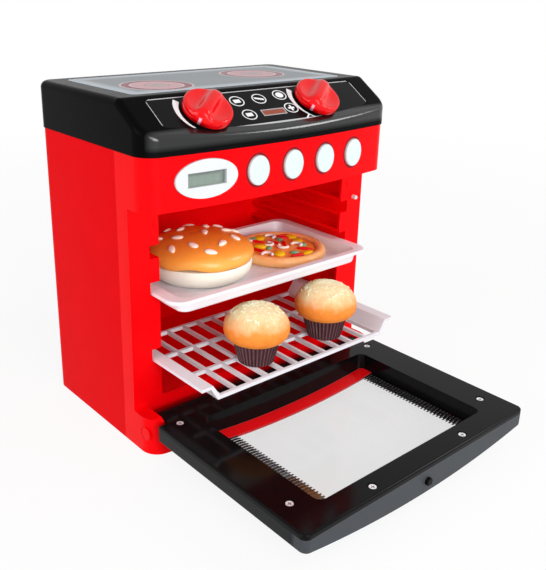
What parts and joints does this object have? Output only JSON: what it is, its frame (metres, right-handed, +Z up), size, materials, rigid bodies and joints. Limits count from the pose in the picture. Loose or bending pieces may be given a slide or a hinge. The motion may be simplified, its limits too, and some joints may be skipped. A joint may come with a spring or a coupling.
{
  "type": "toy oven",
  "caption": "Red toy oven with a black hob, knobs, bowed drop-down door, baking tray, oven rack and play food",
  "frame": {"origin": "middle of the footprint of the oven and its open door, on the floor", "axes": "+Y runs from the open door to the back of the oven, +X across its width to the viewer's right from the front, +Z up"},
  "size_m": [0.2376, 0.3072, 0.2645],
  "materials": {
    "red_shell": "moulded, glossy",
    "black_cover": "moulded, glossy",
    "grey_panel": "printed film with fine speckle",
    "white_parts": "moulded, satin gloss",
    "clear_window": "clear moulded plastic",
    "light_diffuser": "translucent",
    "display_screen": "liquid crystal screen in a pale frame",
    "steel_screws": "bright",
    "dark_internals": "moulded, matt",
    "battery_wrap": "plain shrink wrap",
    "board_green": "solder mask",
    "rubber": "soft",
    "cream_filling": "moulded, satin",
    "bun_crust": "moulded, glossy",
    "pizza_crust": "moulded, glossy",
    "cake_top": "moulded, satin",
    "cupcake_case": "moulded, matt"
  },
  "bodies": {
    "oven_case": {"front_frame": "red_shell", "rear_shell": "red_shell", "case_screws": "steel_screws", "oven_liner": "red_shell", "base_plate": "black_cover", "battery_cover": "black_cover", "cover_screw": "steel_screws", "battery_box": "dark_internals", "batteries": "battery_wrap", "battery_contacts": "steel_screws", "speaker": "dark_internals", "rubber_feet": "rubber", "hob_cover": "black_cover", "hob_panel": "grey_panel", "burner_lights": "light_diffuser", "console_panel": "black_cover", "knob_switch_left": "dark_internals", "knob_switch_right": "dark_internals", "display_bezel": "white_parts", "display_glass": "clear_window", "display_module": "display_screen", "keypad": "rubber", "circuit_board": "board_green", "board_screws": "steel_screws", "door_switch": "dark_internals", "hinge_pin_left": "red_shell", "hinge_pin_right": "red_shell"},
    "door": {"door_outer_shell": "black_cover", "door_window": "clear_window", "door_inner_frame": "black_cover", "door_screws": "steel_screws", "latch_spring": "steel_screws"},
    "door_latch": {"latch_plunger": "black_cover"},
    "door_sensor": {"door_switch_pin": "white_parts"},
    "left_knob": {"knob_left": "red_shell", "knob_shaft_left": "white_parts"},
    "right_knob": {"knob_right": "red_shell", "knob_shaft_right": "white_parts"},
    "first_button": {"button_1": "white_parts"},
    "second_button": {"button_2": "white_parts"},
    "third_button": {"button_3": "white_parts"},
    "fourth_button": {"button_4": "white_parts"},
    "tray": {"baking_tray": "white_parts"},
    "rack": {"oven_rack": "white_parts"},
    "burger": {"burger_filling": "cream_filling", "burger_bun": "bun_crust"},
    "pizza_slab": {"pizza": "pizza_crust"},
    "left_cupcake": {"cupcake_cup_left": "cupcake_case", "cupcake_cake_left": "cake_top"},
    "right_cupcake": {"cupcake_cup_right": "cupcake_case", "cupcake_cake_right": "cake_top"}
  },
  "joints": [
    {"name": "door_hinge", "type": "hinge", "parent": "oven_case", "child": "door", "pos_m": [0, 0.01525, 0.018], "axis": [-1, 0, 0], "range_deg": [0, 90]},
    {"name": "tray_slide", "type": "slide", "parent": "oven_case", "child": "tray", "axis": [0, 1, 0], "range_m": [0, 0.033]},
    {"name": "rack_slide", "type": "slide", "parent": "oven_case", "child": "rack", "axis": [0, 1, 0], "range_m": [0, 0.063]},
    {"name": "door_sensor_slide", "type": "slide", "parent": "oven_case", "child": "door_sensor", "axis": [0, 1, 0], "range_m": [0, 0.0036]},
    {"name": "left_knob_turn", "type": "hinge", "parent": "oven_case", "child": "left_knob", "pos_m": [-0.059, 0.01895, 0.2478], "axis": [0, 0.5547, -0.8321], "range_deg": [0, 80]},
    {"name": "right_knob_turn", "type": "hinge", "parent": "oven_case", "child": "right_knob", "pos_m": [0.046, 0.01895, 0.2478], "axis": [0, 0.5547, -0.8321], "range_deg": [0, 80]},
    {"name": "first_button_press", "type": "slide", "parent": "oven_case", "child": "first_button", "axis": [0, 1, 0], "range_m": [0, 0.002], "stiffness_N_per_m": 500, "springref_m": -0.0005},
    {"name": "second_button_press", "type": "slide", "parent": "oven_case", "child": "second_button", "axis": [0, 1, 0], "range_m": [0, 0.002], "stiffness_N_per_m": 500, "springref_m": -0.0005},
    {"name": "third_button_press", "type": "slide", "parent": "oven_case", "child": "third_button", "axis": [0, 1, 0], "range_m": [0, 0.002], "stiffness_N_per_m": 500, "springref_m": -0.0005},
    {"name": "fourth_button_press", "type": "slide", "parent": "oven_case", "child": "fourth_button", "axis": [0, 1, 0], "range_m": [0, 0.002], "stiffness_N_per_m": 500, "springref_m": -0.0005},
    {"name": "latch_press", "type": "slide", "parent": "door", "child": "door_latch", "axis": [0, 1, 0], "range_m": [0, 0.0025], "stiffness_N_per_m": 400, "springref_m": -0.0005},
    {"name": "burger_lift", "type": "slide", "parent": "tray", "child": "burger", "axis": [0, 0, 1], "range_m": [0, 0.025]},
    {"name": "pizza_lift", "type": "slide", "parent": "tray", "child": "pizza_slab", "axis": [0, 0, 1], "range_m": [0, 0.025]},
    {"name": "left_cupcake_lift", "type": "slide", "parent": "rack", "child": "left_cupcake", "axis": [0, 0, 1], "range_m": [0, 0.004]},
    {"name": "right_cupcake_lift", "type": "slide", "parent": "rack", "child": "right_cupcake", "axis": [0, 0, 1], "range_m": [0, 0.004]}
  ],
  "couplings": [
    {"joint": "tray_slide", "follows": "door_hinge", "m_per_rad": 0.021007},
    {"joint": "rack_slide", "follows": "door_hinge", "m_per_rad": 0.040106},
    {"joint": "door_sensor_slide", "follows": "door_hinge", "m_per_rad": 0.002291}
  ]
}
